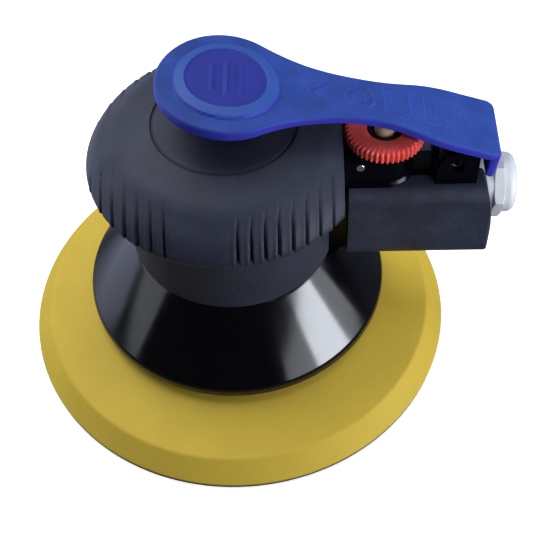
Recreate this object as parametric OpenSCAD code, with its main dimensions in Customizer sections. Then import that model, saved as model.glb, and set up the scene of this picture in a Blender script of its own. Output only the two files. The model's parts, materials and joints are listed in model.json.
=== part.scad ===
// Air-powered random orbital palm sander, 150 mm pad.
// Origin: motor axis at the pad's working face. +X along the inlet arm, +Z up. Millimetres.

/* [Pad and orbit] */
// Diameter of the foam pad
pad_d = 150; // [146:1:154]
// Height of the foam pad above its working face
pad_h = 15; // [14.5:0.1:15]
// Distance between the motor axis and the spindle axis
orbit = 2.5; // [1.5:0.5:2.5]

/* [Shroud] */
// Outer diameter of the shroud's rim
rim_d = 105; // [103:1:107]
// Height of the rim's lower edge
rim_z = 17.5; // [17.5:0.5:18.5]
// Outer diameter of the shroud where it meets the sleeve
shroud_top_d = 69; // [68.8:0.1:70]

/* [Grip] */
// Widest diameter of the mushroom grip
boot_d = 91; // [90:1:93]
// Height of the grip's widest ring
boot_z = 79.7; // [79.5:0.1:80]
// Diameter of the flat crown on the grip
crown_d = 45; // [42:1:46]
// Number of flutes on each side near the arm
side_flutes = 8; // [6:1:8]

/* [Inlet arm] */
// Width of the arm
arm_w = 28; // [27:0.5:29]
// Height of the arm's underside
arm_z0 = 39.5; // [39.5:0.5:41.5]
// Height of the arm's top
arm_z1 = 74; // [73.5:0.5:74]
// Minor radius of the inlet's G 1/4 female thread
thread_r = 5.72; // [5.6:0.01:5.8]

/* [Controls] */
// Distance from the motor axis to the push stem's axis
stem_x = 49.8; // [49.6:0.1:50]
// Outer diameter of the regulator wheel
wheel_d = 25; // [24:0.5:25]
// Number of teeth on the regulator wheel
wheel_teeth = 46; // [30:1:50]
// Diameter of the lever's round head
head_d = 42; // [40:1:43]

/* [Motor] */
// Number of rotor vanes
vanes = 5; // [4:1:6]
// Diameter of the rotor
rotor_d = 32; // [30:0.5:32]

/* [Hidden] */
$fn = 96;

// Fits
fit = 0.05;           // radial clearance of a running or push fit
gap = 0.1;            // clearance between fixed mouldings
eps = 0.01;

// Motor stack, bottom to top
cup_z0 = 22;          // underside of the balancer's cup
spindle_brg_z0 = 24.5;
spindle_brg_h = 14;
cup_z1 = 43;
lower_brg_z0 = 44.3;
lower_brg_h = 8;
plate_z0 = 50;        // underside of the lower end plate
liner_z0 = 55;
liner_z1 = 79;
plate_z1 = 83.5;      // top of the upper end plate
upper_brg_z0 = 81.6;
upper_brg_h = 7;
liner_r = 25;
liner_bore_r = 19.2;
rotor_r = rotor_d / 2;
liner_offset = liner_bore_r - rotor_r - 0.2;
housing_r = 31;
housing_z0 = 43.5;
sleeve_r = 34.4;      // outside of the neck sleeve
dowel_x = -23.3;
dowel_r = 1;
key_x = 4.4;          // inner face of the rotor's key
key_w = 2;
// Bearings as [bore, inner race's outside, ball circle, outer race's inside, outside, ball], all radii.
upper_brg = [4, 6.1, 7.5, 8.9, 11, 2];
lower_brg = [6, 8.4, 10, 11.6, 14, 2.4];
spindle_brg = [6, 8.5, 10, 11.5, 14, 2.2];

// Inlet arm
inlet_z = 64.3;       // height of the air passage
core_w = 21.6;        // width of the housing's arm core
core_z0 = 44.5;
core_z1 = 72.6;
core_x1 = 79;         // end of the core, where the gasket sits
passage_r = 4.5;
chamber_r = 6.2;      // valve chamber
chamber_x = [60, 71.5];
arm_x0 = 38.5;
arm_x1 = 85.3;        // furthest point of the arm's bulged end
boss_r = 9.4;         // half width of the valve boss
boss_z = 86;
boss_foot = 0.7;      // how far the boss's foot spreads
boot_cut_x = 36.5;    // flat end of the boot on the arm side
flute_w = 1.3;
flute_depth = 2.4;
flute_pitch = 4.1;
flute_x = 4.4;        // first flute of the group near the arm
palm_flute_x = -17.6; // first flute of the group on the palm side
palm_flutes = 7;
stop_x = 42;          // stop pin beside the regulator wheel
stop_z = 82.4;
stop_r = 1.4;
sleeve_bore_r = 7;    // outer radius of the regulator's sleeve
bushing_x1 = 93;
bushing_r = 6.6;      // shank inside the housing
hex_x0 = 85.4;
hex_x1 = 88.6;
hex_r = 11.6;         // across the corners
collar_r = 9.85;
fulcrum_x = 62.8;     // axis that the tip valve rocks on
fulcrum_z = inlet_z + 4.9;
fulcrum_r = 0.8;
exhaust_z0 = 46.3;
exhaust_z1 = 51.8;
exhaust_w = 16;

// Lever
pivot_x = 72;
pivot_z = 81.6;
pin_r = 2;
lug_x0 = 66;
lug_x1 = 79;
lug_z = 87;
lug_w = 18;
web_w = 10.2;         // low platform between the boss and the lugs
tongue_w = 8.4;
head_x = 1;
neck_x = 44.8;
neck_hw = 8.6;
flare_r = 53.7;       // radius of the S-curve from the neck to the rear
rear_hw = 12;
lever_x1 = 85.6;
lever_corner = 3.5;
head_t = 3.9;         // thickness of the lever at its head and along its neck
neck_t = 3.2;
nib_r = 2.4;          // boss under the lever that meets the push stem
nib_z = 96.2;
badge_r = 16;         // raised badge on the head: foot, crest and its dished middle
badge_crest_r = 12.5;
badge_x = 1.5;
badge_z = 111.4;      // lever's top under the badge's centre
badge_tilt = 6;

// Points along an arc from angle a0 to a1 about [cx, cy].
function arc(cx, cy, r, a0, a1, n) =
    [for (i = [0 : n]) let (a = a0 + (a1 - a0) * i / n) [cx + r * cos(a), cy + r * sin(a)]];

// A cylinder whose axis is +X, starting at x0.
module rod_x(x0, x1, r, z = inlet_z) {
    translate([x0, 0, z]) rotate([0, 90, 0]) cylinder(r = r, h = x1 - x0);
}

// A cylinder whose axis is Y, centred on y = 0.
module rod_y(x, z, r, w) {
    translate([x, w / 2, z]) rotate([90, 0, 0]) cylinder(r = r, h = w);
}

// A box centred on y = 0.
module slab(x0, x1, w, z0, z1) {
    translate([x0, -w / 2, z0]) cube([x1 - x0, w, z1 - z0]);
}

// A tube about Z.
module tube(ri, ro, z0, z1) {
    rotate_extrude() translate([ri, z0]) square([ro - ri, z1 - z0]);
}

// A ring of round section about Z.
module ring(r, section_r, z) {
    rotate_extrude() translate([r, z]) circle(r = section_r, $fn = 32);
}

// ---------- bearings ----------

// Inner race of bearing b when first is 0, outer race when first is 3.
module race(b, first, z0, h, rows) {
    difference() {
        tube(b[first], b[first + 1], z0, z0 + h);
        for (z = rows) ring(b[2], b[5] + fit, z);
    }
}

module ball_cage(b, rows, count, cage_h) {
    cage_t = 1.2;
    union() {
        for (z = rows) tube(b[2] - cage_t / 2, b[2] + cage_t / 2, z - cage_h / 2, z + cage_h / 2);
        for (z = rows, i = [0 : count - 1])
            rotate([0, 0, i * 360 / count]) translate([b[2], 0, z]) sphere(r = b[5], $fn = 48);
    }
}

upper_row = [upper_brg_z0 + upper_brg_h / 2];
lower_row = [lower_brg_z0 + lower_brg_h / 2];
spindle_rows = [spindle_brg_z0 + 3.8, spindle_brg_z0 + spindle_brg_h - 3.8];

module upper_bearing_outer_race() {
    color("silver") race(upper_brg, 3, upper_brg_z0, upper_brg_h, upper_row);
}

module upper_bearing_inner_race() {
    color("silver") race(upper_brg, 0, upper_brg_z0, upper_brg_h, upper_row);
}

module upper_bearing_balls() {
    color("gainsboro") ball_cage(upper_brg, upper_row, 7, 2.6);
}

module lower_bearing_outer_race() {
    color("silver") race(lower_brg, 3, lower_brg_z0, lower_brg_h, lower_row);
}

module lower_bearing_inner_race() {
    color("silver") race(lower_brg, 0, lower_brg_z0, lower_brg_h, lower_row);
}

module lower_bearing_balls() {
    color("gainsboro") ball_cage(lower_brg, lower_row, 8, 3);
}

module at_spindle() {
    translate([0, -orbit, 0]) children();
}

module spindle_bearing_outer_race() {
    color("silver") at_spindle()
        race(spindle_brg, 3, spindle_brg_z0, spindle_brg_h, spindle_rows);
}

module spindle_bearing_inner_race() {
    color("silver") at_spindle()
        race(spindle_brg, 0, spindle_brg_z0, spindle_brg_h, spindle_rows);
}

module spindle_bearing_balls() {
    color("gainsboro") at_spindle() union() {
        ball_cage(spindle_brg, spindle_rows, 9, 3);
        tube(spindle_brg[2] - 0.6, spindle_brg[2] + 0.6, spindle_rows[0], spindle_rows[1]);
    }
}

// ---------- housing and motor ----------

// Outside of the moulded housing that the boot is stretched over, grown by c and started at z0.
module housing_dome(z0, c = 0) {
    rotate_extrude() polygon(concat(
        [[0, z0], [housing_r + c, z0], [housing_r + c, 74.4], [40.6 + c, 77.6 - c]],
        arc(39.6, 79.6, 2.2 + c, -55, 25, 6),
        [[38.6 + c, 84.2 + c], [33.6 + c, 88.2 + c], [28 + c, 90.9 + c], [21, 92.4 + c], [0, 93.4 + c]]));
}

// The part of a body of revolution left of x.
module left_of(x) {
    intersection() {
        children();
        translate([-60, -60, 30]) cube([60 + x, 120, 80]);
    }
}

// Half section of the valve boss: spread foot, straight side, chamfered top.
boss_section = [[0, arm_z1 - 3], [boss_r + boss_foot, arm_z1 - 3], [boss_r + boss_foot, arm_z1 + 0.2],
                [boss_r, arm_z1 + 1.3], [boss_r, boss_z - 1.4], [boss_r - 1.4, boss_z], [0, boss_z]];

module valve_boss() {
    union() {
        translate([stem_x, 0, 0]) rotate_extrude() polygon(boss_section);
        for (s = [0, 1]) mirror([0, s, 0])
            translate([boot_cut_x - 6, 0, 0]) rotate([90, 0, 90])
                linear_extrude(stem_x - boot_cut_x + 6) polygon(boss_section);
    }
}

module boss_outline(r) {
    translate([stem_x, 0]) circle(r = r);
    translate([boot_cut_x - 6, -r]) square([stem_x - boot_cut_x + 6, 2 * r]);
}

module lug(y0, y1) {
    translate([0, y1, 0]) rotate([90, 0, 0]) linear_extrude(y1 - y0) polygon(concat(
        [[lug_x0, 73], [lug_x1, 73]],
        arc(lug_x1 - 1.5, lug_z - 1.5, 1.5, 0, 90, 6),
        arc(pivot_x, pivot_z, lug_z - pivot_z, 90, 180, 10),
        [[lug_x0, pivot_z]]));
}

module motor_housing() {
    color([0.07, 0.07, 0.08]) difference() {
        union() {
            left_of(boot_cut_x - 2) housing_dome(housing_z0);
            slab(20, core_x1, core_w, core_z0, core_z1);
            valve_boss();
            slab(stem_x, lug_x0 + 1, web_w, core_z1 - 1, arm_z1 + 0.4);
            slab(lug_x0, lug_x1, lug_w, core_z1 - 1, arm_z1);
            lug(-lug_w / 2, -4.5);
            lug(4.5, lug_w / 2);
        }
        // Bore for the end plates and liner, bearing pocket, and the lock ring's thread.
        translate([0, 0, plate_z0 - 1]) cylinder(r = liner_r + gap, h = plate_z1 + 1.2 - plate_z0);
        translate([0, 0, plate_z1 - 1]) cylinder(r = 14.2, h = 91 - plate_z1 + 1);
        translate([0, 0, housing_z0 - 2]) cylinder(r = 28 + gap, h = plate_z0 - housing_z0 + 2);
        // Air passage, valve chamber and inlet thread.
        rod_x(23, 61, passage_r);
        rod_x(chamber_x[0], chamber_x[1], chamber_r);
        rod_x(71, core_x1 + 1, bushing_r + gap);
        // Regulator bore.
        translate([stem_x, 0, 56.5]) cylinder(r = sleeve_bore_r + fit, h = 40);
        // Exhaust pocket beside the liner, and its passage out.
        intersection() {
            tube(liner_r - 1, 28, 51, 76);
            translate([0, 5, 0]) cube([60, 20, 100]);
        }
        slab(22, core_x1 + 1, exhaust_w, exhaust_z0, exhaust_z1);
        // Lever pin and stop pin.
        rod_y(pivot_x, pivot_z, pin_r + fit, 30);
        for (s = [-1, 1]) translate([0, s * lug_w / 2, 0]) rod_y(pivot_x, pivot_z, 2.5, 3);
        // Groove for the O-ring above the end plate.
        tube(liner_r - 1.8, liner_r - 0.4, plate_z1, plate_z1 + 1);
        translate([0, -boss_r, 0]) rod_y(stop_x, stop_z, stop_r + fit, 5.4);
    }
}

module regulator_stop_pin() {
    color("silver") translate([0, 1.15 - boss_r, 0]) rod_y(stop_x, stop_z, stop_r, 2.9);
}

// Profile of the boot's outside, from the lower lip up to the axis.
function boot_profile() = concat(
    [[sleeve_r, 74.3], [boot_d / 2 - 1.6, boot_z - 1.9]],
    arc(boot_d / 2 - 1.9, boot_z, 1.9, -60, 35, 8),
    [[boot_d / 2 - 1.6, boot_z + 2.8], [41.3, boot_z + 6.8], [36.4, boot_z + 10.6],
     [30.4, boot_z + 13.6], [crown_d / 2 + 0.8, 95.2], [crown_d / 2, 94.7],
     [crown_d / 2 - 0.8, 95.4], [14, 96.4], [0, 97]]);

// A pair of saw-blade cuts parallel to the YZ plane: deepest at the widest ring, fading out up the slope.
module flute_cut(x) {
    blade_r = 22.9;
    blade_z = boot_z + 14.3;
    reach = sqrt(blade_r * blade_r - (blade_z - boot_z) * (blade_z - boot_z));
    ring_y = sqrt(boot_d * boot_d / 4 - x * x);
    // Cuts that meet the surface at a slant go further in, so that they look as deep.
    depth = flute_depth * min(1.6, boot_d / 2 / ring_y);
    for (s = [-1, 1]) translate([x - flute_w / 2, s * (ring_y + reach - depth), blade_z])
        rotate([0, 90, 0]) cylinder(r = blade_r, h = flute_w);
}

module grip_boot() {
    color([0.16, 0.16, 0.18]) difference() {
        left_of(boot_cut_x) rotate_extrude() polygon(concat([[0, 74.3]], boot_profile()));
        left_of(boot_cut_x - 2 + gap) housing_dome(70, gap);
        // Room for the boss and the arm's core.
        translate([0, 0, 60]) linear_extrude(boss_z + gap - 60) boss_outline(boss_r + boss_foot + gap);
        slab(20, 60, core_w + 0.2, 60, core_z1 + gap);
        for (i = [0 : side_flutes - 1]) flute_cut(flute_x + i * flute_pitch);
        for (i = [0 : palm_flutes - 1]) flute_cut(palm_flute_x - i * flute_pitch);
    }
}

module neck_sleeve() {
    color([0.16, 0.16, 0.18]) difference() {
        tube(housing_r + gap, sleeve_r, housing_z0 + gap, 74.2);
        slab(10, 60, core_w + 0.4, 40, 80);
    }
}

module arm_section() {
    hw = arm_w / 2;
    top_r = 5;
    low_r = 10;
    polygon(concat(
        arc(-hw + low_r, arm_z0 + low_r, low_r, 180, 270, 12),
        arc(hw - low_r, arm_z0 + low_r, low_r, 270, 360, 12),
        arc(hw - top_r, arm_z1 - top_r, top_r, 0, 90, 8),
        arc(-hw + top_r, arm_z1 - top_r, top_r, 90, 180, 8)));
}

// Side view of the arm: the end bulges slightly and its lower corner is rounded.
module arm_side() {
    bulge_r = 100;
    bulge_z = 50;
    low_r = 7;
    polygon(concat(
        [[arm_x0, arm_z0]],
        arc(arm_x1 - low_r - 0.3, arm_z0 + low_r, low_r, -90, -8, 8),
        arc(arm_x1 - bulge_r, bulge_z, bulge_r, -2, 11, 8),
        arc(arm_x1 - 4.1, arm_z1 - 1.5, 1.5, 20, 90, 5),
        [[arm_x0, arm_z1]]));
}

// Plan view of the arm, with the end's upright edges rounded.
module arm_plan() {
    hw = arm_w / 2;
    corner = 2;
    polygon(concat(
        [[arm_x0, -hw]], arc(arm_x1 - corner, -hw + corner, corner, -90, 0, 6),
        arc(arm_x1 - corner, hw - corner, corner, 0, 90, 6), [[arm_x0, hw]]));
}

module arm_cover() {
    color([0.16, 0.16, 0.18]) difference() {
        intersection() {
            translate([arm_x0, 0, 0]) rotate([90, 0, 90]) linear_extrude(60) arm_section();
            translate([0, 30, 0]) rotate([90, 0, 0]) linear_extrude(60) arm_side();
            translate([0, 0, arm_z0 - 1]) linear_extrude(60) arm_plan();
        }
        slab(arm_x0 - 1, core_x1 + gap, core_w + 2 * gap, core_z0 - gap, core_z1 + gap);
        translate([0, 0, core_z1 - 1]) linear_extrude(10) boss_outline(boss_r + boss_foot + gap);
        slab(stem_x, lug_x0, web_w + 2 * gap, core_z1 - 1, arm_z1 + 1);
        slab(lug_x0 - gap, lug_x1 + gap, lug_w + 2 * gap, core_z1 - 1, arm_z1 + 1);
        rod_x(core_x1 - 1, 90, collar_r + 2 * gap);
        slab(core_x1 - 1, 90, exhaust_w, exhaust_z0, exhaust_z1);
    }
}

module shroud() {
    rim_r = rim_d / 2;
    neck_r = shroud_top_d / 2;
    color([0.05, 0.05, 0.06]) rotate_extrude() polygon(concat(
        [[28.2, 40.6], [neck_r - 2.6, 40.6], [rim_r - 5.4, rim_z + 4.2]],
        arc(rim_r - 5.6, rim_z + 1.6, 3.6, 40, 0, 6),
        [[rim_r - 2, rim_z], [rim_r, rim_z], [rim_r, rim_z + 2.2]],
        arc(rim_r - 3.6, rim_z + 2.2, 3.6, 0, 53, 8),
        [[neck_r, 43], [neck_r - 0.4, 43.4], [28.2, 43.4]]));
}

module lock_ring() {
    color("dimgray") difference() {
        union() {
            tube(22, 28, 38.2, 49.9);
            tube(22, 31, 38.2, 40.4);
        }
        for (a = [0 : 90 : 270]) rotate([0, 0, a + 45]) slab(28.5, 33, 5, 38, 41);
    }
}

module motor_cylinder() {
    color("lightgray") difference() {
        tube(0.01, liner_r, liner_z0, liner_z1);
        translate([0, liner_offset, liner_z0 - 1]) cylinder(r = liner_bore_r, h = 30);
        rod_x(15, 30, 4);
        for (z = [59, 67, 75]) rotate([0, 0, 35]) rod_x(15, 30, 2.2, z);
        translate([dowel_x, 0, liner_z0 - 1]) cylinder(r = dowel_r + fit, h = 5);
    }
}

module cylinder_dowel() {
    color("silver") translate([dowel_x, 0, plate_z0 + 2]) cylinder(r = dowel_r, h = 6.5);
}

module upper_end_plate() {
    color("darkgray") difference() {
        union() {
            tube(0.01, liner_r, liner_z1, plate_z1);
            tube(0.01, 14, plate_z1 - 1, 89);
        }
        translate([0, 0, upper_brg_z0 - 0.1]) cylinder(r = upper_brg[4] + fit, h = 20);
        translate([0, 0, liner_z1 - 1]) cylinder(r = 6.5, h = 10);
    }
}

module lower_end_plate() {
    color("darkgray") difference() {
        union() {
            tube(0.01, liner_r, plate_z0, liner_z0);
            tube(0.01, 17, lower_brg_z0 - 0.2, plate_z0 + 1);
        }
        translate([0, 0, lower_brg_z0 - 1]) cylinder(r = lower_brg[4] + fit, h = lower_brg_h + 1.1);
        translate([0, 0, lower_brg_z0]) cylinder(r = 8.6, h = 20);
        translate([dowel_x, 0, plate_z0 + 1.9]) cylinder(r = dowel_r + fit, h = 5);
    }
}

module housing_o_ring() {
    color([0.1, 0.1, 0.1]) ring(liner_r - 1.1, 0.45, plate_z1 + 0.5);
}

// ---------- inlet, valve and exhaust ----------

module inlet_bushing() {
    end_r = 2.8;
    color([0.85, 0.87, 0.9]) difference() {
        union() {
            rod_x(71.2, core_x1 + 2, bushing_r);
            rod_x(core_x1 + 1, hex_x1, collar_r);
            translate([hex_x0, 0, inlet_z]) rotate([0, 90, 0]) rotate([0, 0, 20])
                cylinder(r = hex_r, h = hex_x1 - hex_x0, $fn = 6);
            translate([hex_x1 - eps, 0, inlet_z]) rotate([0, 90, 0]) rotate_extrude() polygon(concat(
                [[0, 0], [collar_r, 0]],
                arc(collar_r - end_r, bushing_x1 - hex_x1 - end_r + eps, end_r, 0, 90, 8),
                [[0, bushing_x1 - hex_x1 + eps]]));
        }
        rod_x(80, bushing_x1 + 1, thread_r);
        rod_x(70, 81, passage_r);
    }
}

module inlet_gasket() {
    color([0.1, 0.1, 0.1]) translate([core_x1, 0, inlet_z]) rotate([0, 90, 0])
        tube(bushing_r + gap, 9.6, 0, 1);
}

module inlet_screen() {
    color("silver") difference() {
        rod_x(70.2, 71.1, chamber_r - gap);
        for (y = [-4 : 2 : 4], z = [-4 : 2 : 4])
            if (norm([y, z]) < 5) translate([0, y, 0]) rod_x(69, 73, 0.6, inlet_z + z);
    }
}

module valve_seat() {
    color("silver") translate([60.1, 0, inlet_z]) rotate([0, 90, 0]) tube(3.2, chamber_r - fit, 0, 1.8);
}

module valve_spring() {
    color("silver") translate([65, 0, inlet_z]) rotate([0, 90, 0])
        for (i = [0 : 4]) ring(2.6 + i * 0.75, 0.35, 0.6 + i * 1.05);
}

module muffler_felt() {
    color([0.6, 0.58, 0.52]) slab(56, 76, exhaust_w - 2 * gap, exhaust_z0 + gap, exhaust_z1 - gap);
}

module exhaust_grille() {
    color([0.1, 0.1, 0.1]) difference() {
        slab(core_x1 + 1, 84, exhaust_w - 2 * gap, exhaust_z0 + gap, exhaust_z1 - gap);
        for (y = [-6 : 2 : 6]) translate([0, y, 0]) slab(core_x1, 86, 1, exhaust_z0 + 1, exhaust_z1 - 1);
    }
}

module tip_valve() {
    color([0.8, 0.65, 0.3]) union() {
        rod_x(stem_x - 1.6, 64, 1);
        rod_x(63.1, 64.5, 4.9);
        // Round bar along the top of the disc that it rocks on.
        rod_y(fulcrum_x, fulcrum_z, fulcrum_r, 4);
    }
}

module tip_valve_seal() {
    color([0.1, 0.1, 0.1]) translate([62, 0, inlet_z]) rotate([0, 90, 0]) tube(1 + eps, 4, 0, 1);
}

// ---------- controls ----------

module lever_pin() {
    color("silver") difference() {
        rod_y(pivot_x, pivot_z, pin_r, 14.8);
        rod_y(pivot_x, pivot_z, 1, 20);
    }
}

// Outline of the lever from above: round head, waisted neck, S-curve out to a wider rear.
module lever_plan() {
    head_r = head_d / 2;
    span = neck_x - head_x;
    // Radius of the concave fillet that touches both the head and the neck's narrowest point.
    fillet_r = (span * span + neck_hw * neck_hw - head_r * head_r) / (2 * (head_r - neck_hw));
    fillet_y = neck_hw + fillet_r;
    a = atan2(fillet_y, span);
    touch = [head_x + head_r * cos(a), head_r * sin(a)];
    // The S-curve's two equal arcs meet halfway.
    rise = rear_hw - neck_hw;
    flare_dx = sqrt(4 * flare_r * rise - rise * rise);
    mid_x = neck_x + flare_dx / 2;
    mid_y = neck_hw + rise / 2;
    rear_x = neck_x + flare_dx;
    union() {
        translate([head_x, 0]) circle(r = head_r);
        difference() {
            polygon([[head_x, 0], touch, [neck_x, touch[1]], [neck_x, -touch[1]], [touch[0], -touch[1]]]);
            for (s = [-1, 1]) translate([neck_x, s * fillet_y]) circle(r = fillet_r, $fn = 180);
        }
        difference() {
            translate([neck_x - eps, -mid_y]) square([mid_x - neck_x + 2 * eps, 2 * mid_y]);
            for (s = [-1, 1]) translate([neck_x, s * (neck_hw + flare_r)]) circle(r = flare_r, $fn = 180);
        }
        intersection() {
            translate([mid_x, -rear_hw]) square([rear_x - mid_x + eps, 2 * rear_hw]);
            translate([rear_x, rear_hw - flare_r]) circle(r = flare_r, $fn = 180);
            translate([rear_x, flare_r - rear_hw]) circle(r = flare_r, $fn = 180);
        }
        translate([rear_x, -rear_hw]) square([lever_x1 - lever_corner - rear_x, 2 * rear_hw]);
        translate([rear_x, lever_corner - rear_hw])
            square([lever_x1 - rear_x, 2 * (rear_hw - lever_corner)]);
        for (s = [-1, 1]) translate([lever_x1 - lever_corner, s * (rear_hw - lever_corner)])
            circle(r = lever_corner);
    }
}

// Top of the lever from the head to the crease above the lip, as [x, z].
lever_top = [[-21, 113.2], [-10, 112.6], [0, 111.6], [10, 110], [20, 107.9], [26, 106.6], [32, 105.5],
             [38, 104.4], [44, 103.1], [50, 101.6], [56, 99.9], [62, 97.8], [68, 95.5], [74, 93.2],
             [80, 91], [83.4, 89.7]];

// Vertical thickness of the lever at x.
function lever_t(x) = head_t + (neck_t - head_t) * max(0, min(1, (x - 5) / 20));

module lever_side() {
    n = len(lever_top) - 2;
    polygon(concat(
        lever_top,
        [[85.3, 88.4], [85.6, 86.8], [83.4, 80.1], [82.4, 79.2], [81.1, 79.5], [80.5, 80.7], [81.4, 86.4]],
        [for (i = [n - 1 : -1 : 0]) lever_top[i] - [0.15 * neck_t, lever_t(lever_top[i][0])]]));
}

// Raised badge, as [r, height above the lever's top]; its middle is a shallow dish.
badge_section = [[0, -1.5], [badge_r, -1.5], [badge_r, 0.9], [badge_crest_r, 2], [badge_crest_r - 0.5, 1.5],
                 [0, 1.5]];

module throttle_lever() {
    color([0.2, 0.27, 0.67]) difference() {
        union() {
            translate([badge_x, 0, badge_z]) rotate([0, badge_tilt, 0])
                rotate_extrude() polygon(badge_section);
            intersection() {
                translate([0, 0, 70]) linear_extrude(50) lever_plan();
                translate([0, 20, 0]) rotate([90, 0, 0]) linear_extrude(40) lever_side();
            }
            translate([0, tongue_w / 2, 0]) rotate([90, 0, 0]) linear_extrude(tongue_w) polygon(concat(
                arc(pivot_x, pivot_z, 4.6, 180, 360, 12), [[76.6, 90.8], [67.4, 94]]));
            translate([stem_x, 0, nib_z]) cylinder(r = nib_r, h = 3.5);
        }
        rod_y(pivot_x, pivot_z, pin_r + fit, 30);
    }
}

module valve_stem() {
    color([0.75, 0.63, 0.55]) translate([stem_x, 0, 0]) difference() {
        rotate_extrude() polygon(concat(
            [[0, inlet_z + 1.3]], arc(0, inlet_z + 3.2, 1.9, -80, 0, 6),
            [[1.9, 71.5], [2.5, 72], [2.5, 88], [3.3, 88.4], [3.3, 94.6]],
            arc(2, 94.6, 1.3, 0, 90, 6), [[0, 95.9]]));
        rotate_extrude() translate([1.7, 75.5]) square([2, 1]);
    }
}

module stem_o_ring() {
    color([0.1, 0.1, 0.1]) translate([stem_x, 0, 0]) ring(2.1, 0.38, 76);
}

module regulator_wheel() {
    wheel_r = wheel_d / 2;
    step = 360 / wheel_teeth;
    // Corners of one tooth, as [share of a step, drop below the tips].
    tooth = [[0, 0.7], [0.25, 0], [0.6, 0], [0.85, 0.7]];
    color([0.8, 0.3, 0.28]) translate([stem_x, 0, 87]) difference() {
        union() {
            linear_extrude(3.4) polygon([for (i = [0 : wheel_teeth - 1], k = tooth)
                let (a = (i + k[0]) * step, r = wheel_r - k[1]) [r * cos(a), r * sin(a)]]);
            rotate_extrude() polygon([[0, 0], [wheel_r - 0.8, 0], [wheel_r - 0.8, 3.4],
                                      [wheel_r - 1.8, 4], [0, 4]]);
        }
        translate([0, 0, -1]) cylinder(r = 5.75, h = 10);
    }
}

module regulator_sleeve() {
    color([0.12, 0.12, 0.13]) translate([stem_x, 0, 0]) difference() {
        union() {
            tube(0.01, sleeve_bore_r, 68, 86.9);
            tube(0.01, 5.7, 86, 90.3);
            // Skirt that shuts the passage to the motor when the wheel is turned.
            intersection() {
                tube(5.2, sleeve_bore_r, 57, 68.5);
                translate([0, 0, 56]) linear_extrude(20)
                    polygon([[0, 0], 12 * [cos(50), sin(50)], [0, 12], 12 * [cos(130), sin(130)]]);
            }
        }
        translate([0, 0, 60]) cylinder(r = 2.5 + fit, h = 40);
        translate([0, 0, 84.4]) cylinder(r = 4, h = 10);
        rotate_extrude() translate([5.2, 79.1]) square([4, 1.8]);
    }
}

module regulator_o_ring() {
    color([0.1, 0.1, 0.1]) translate([stem_x, 0, 0]) ring(6.1, 0.85, 80);
}

// ---------- rotor ----------

module rotor() {
    color("slategray") difference() {
        tube(5.5 + fit, rotor_r, liner_z0 + 0.15, liner_z1 - 0.15);
        for (i = [0 : vanes - 1]) rotate([0, 0, 18 + i * 360 / vanes])
            slab(7.5, rotor_r + 1, 1.6, liner_z0 - 1, liner_z1 + 1);
        translate([key_x - 0.4, -key_w / 2, liner_z0 - 1]) cube([2.9, key_w, 30]);
    }
}

module rotor_vanes() {
    color([0.45, 0.25, 0.15]) for (i = [0 : vanes - 1]) rotate([0, 0, 18 + i * 360 / vanes])
        slab(7.7, rotor_r - 0.1, 1.5, liner_z0 + 0.2, liner_z1 - 0.2);
}

module rotor_key() {
    color("silver") translate([key_x, fit - key_w / 2, liner_z0 + 4]) cube([2.4, key_w - 2 * fit, 15]);
}

module shaft_balancer() {
    cup_bore_z1 = spindle_brg_z0 + spindle_brg_h;
    color("gray") difference() {
        union() {
            rotate_extrude() polygon([[0, 40], [8.2, 40], [8.2, lower_brg_z0 - eps], [5.97, lower_brg_z0],
                [5.97, 54.9], [5.5, 55], [5.5, 79.2], [3.97, 79.3], [3.97, 90.2], [0, 90.2]]);
            at_spindle() translate([0, 0, cup_z0]) cylinder(r = 17.5, h = cup_z1 - cup_z0);
            intersection() {
                translate([0, 0, 25]) cylinder(r = 29, h = 12);
                translate([-30, 4, 20]) cube([60, 30, 30]);
            }
        }
        at_spindle() {
            translate([0, 0, cup_z0 - 1]) cylinder(r = spindle_brg[4] + fit, h = cup_bore_z1 + 1 - cup_z0);
            translate([0, 0, cup_z0]) cylinder(r = 9, h = 40.9 - cup_z0);
            tube(10, 14.9, 23.1, 24.4);
        }
        translate([key_x - eps, -key_w / 2, liner_z0 + 4]) cube([3, key_w, 15]);
        tube(3.4, 6, 88.8, 89.7);
    }
}

module shaft_circlip() {
    color("darkslategray") difference() {
        tube(3.45, 5.6, 88.85, 89.6);
        slab(0, 8, 2, 88, 91);
    }
}

module bearing_retaining_ring() {
    color("darkslategray") at_spindle() difference() {
        tube(12.2, 14.8, 23.2, 24.3);
        slab(0, 16, 4, 22, 26);
    }
}

// ---------- spindle and pad ----------

module spindle() {
    color("silver") at_spindle() difference() {
        union() {
            rotate_extrude() polygon([[0, 21], [8, 21], [8, spindle_brg_z0 - eps], [5.97, spindle_brg_z0],
                [5.97, 40.2], [0, 40.2]]);
            translate([0, 0, pad_h + 0.1]) cylinder(r = 9.8, h = 6.6, $fn = 6);
        }
        translate([0, 0, pad_h - 1]) cylinder(r = 4 + fit, h = 17);
        tube(5.2, 8, 38.7, 39.8);
    }
}

module spindle_circlip() {
    color("darkslategray") at_spindle() difference() {
        tube(5.25, 7.6, 38.75, 39.7);
        slab(0, 9, 2.4, 38, 41);
    }
}

module pad_stud() {
    color("silver") at_spindle() union() {
        translate([0, 0, 12]) cylinder(r = 8, h = 1.4);
        translate([0, 0, 12]) cylinder(r = 4, h = 18);
    }
}

module pad_backing_plate() {
    color([0.3, 0.25, 0.2]) at_spindle() difference() {
        translate([0, 0, 12]) cylinder(r = 33, h = pad_h - 12);
        translate([0, 0, 11]) cylinder(r = 8.1, h = 2.5);
        translate([0, 0, 11]) cylinder(r = 4.1, h = 10);
    }
}

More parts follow.
